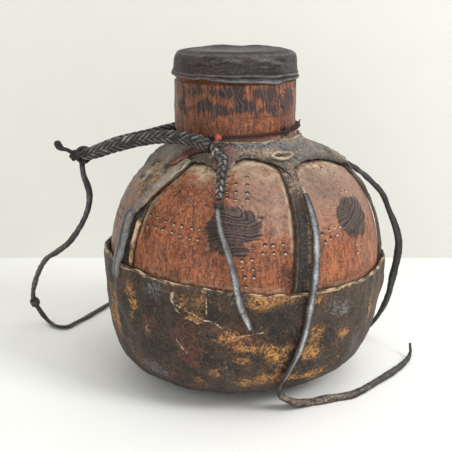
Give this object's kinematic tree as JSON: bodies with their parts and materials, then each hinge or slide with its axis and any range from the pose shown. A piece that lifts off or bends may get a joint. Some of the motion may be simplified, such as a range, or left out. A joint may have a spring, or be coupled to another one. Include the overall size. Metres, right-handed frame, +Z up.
{
  "type": "milk flask",
  "caption": "Globular carved wooden milk flask with a straight neck, in a laced hide harness and boot, with a lift-off moulded hide lid and a plaited carrying loop",
  "frame": {"origin": "On the floor under the axis of the neck, in the plane of the flat sole of the boot", "axes": "+Z up along the neck; -Y is the front with the hanging tail of the plait; the carrying loop points to -X"},
  "size_m": [0.2785, 0.2232, 0.2113],
  "materials": {
    "wood": "hand-carved, oiled and smoke-darkened",
    "boot_hide": "shrunk rawhide, near black with worn ochre patches",
    "harness_hide": "stiff blackened hide with pale cut edges",
    "lid_hide": "moulded rawhide, dull dark brown",
    "plait_hide": "plaited hide, polished by handling",
    "thong_hide": "narrow cut thongs, dry and stiff",
    "pink_hide": "undyed reddish hide",
    "tan_hide": "undyed tan to grey hide",
    "cord_fibre": "twisted plant fibre, dark with use"
  },
  "bodies": {
    "vessel": {"vessel_body": "wood", "base_boot": "boot_hide", "shoulder_yoke": "harness_hide", "strap_left": "harness_hide", "strap_front": "harness_hide", "strap_right": "harness_hide", "strap_back_right": "harness_hide", "strap_back_left": "harness_hide", "left_strap_roll": "harness_hide", "neck_cord": "cord_fibre", "neck_cord_knot": "cord_fibre", "neck_cord_end": "cord_fibre", "handle_back_knot": "plait_hide", "handle_tail": "plait_hide", "tail_tie": "thong_hide", "front_thong": "thong_hide", "strap_thong": "thong_hide", "right_thong": "thong_hide", "loop_thong": "thong_hide", "loop_thong_knot": "thong_hide", "front_tab": "pink_hide", "back_tab": "pink_hide", "shoulder_tie": "pink_hide", "cross_strap": "tan_hide", "yoke_loop": "tan_hide"},
    "lid": {"lid_cap": "lid_hide"},
    "handle": {"handle_plait": "plait_hide", "handle_hitch": "thong_hide", "hitch_end": "thong_hide"}
  },
  "joints": [
    {"name": "lid_lift", "type": "slide", "parent": "vessel", "child": "lid", "axis": [0, 0, 1], "range_m": [0, 0.06]},
    {"name": "handle_swing", "type": "hinge", "parent": "vessel", "child": "handle", "pos_m": [-0.012, 0, 0.157], "axis": [0, 1, 0], "range_deg": [0, 38]}
  ]
}
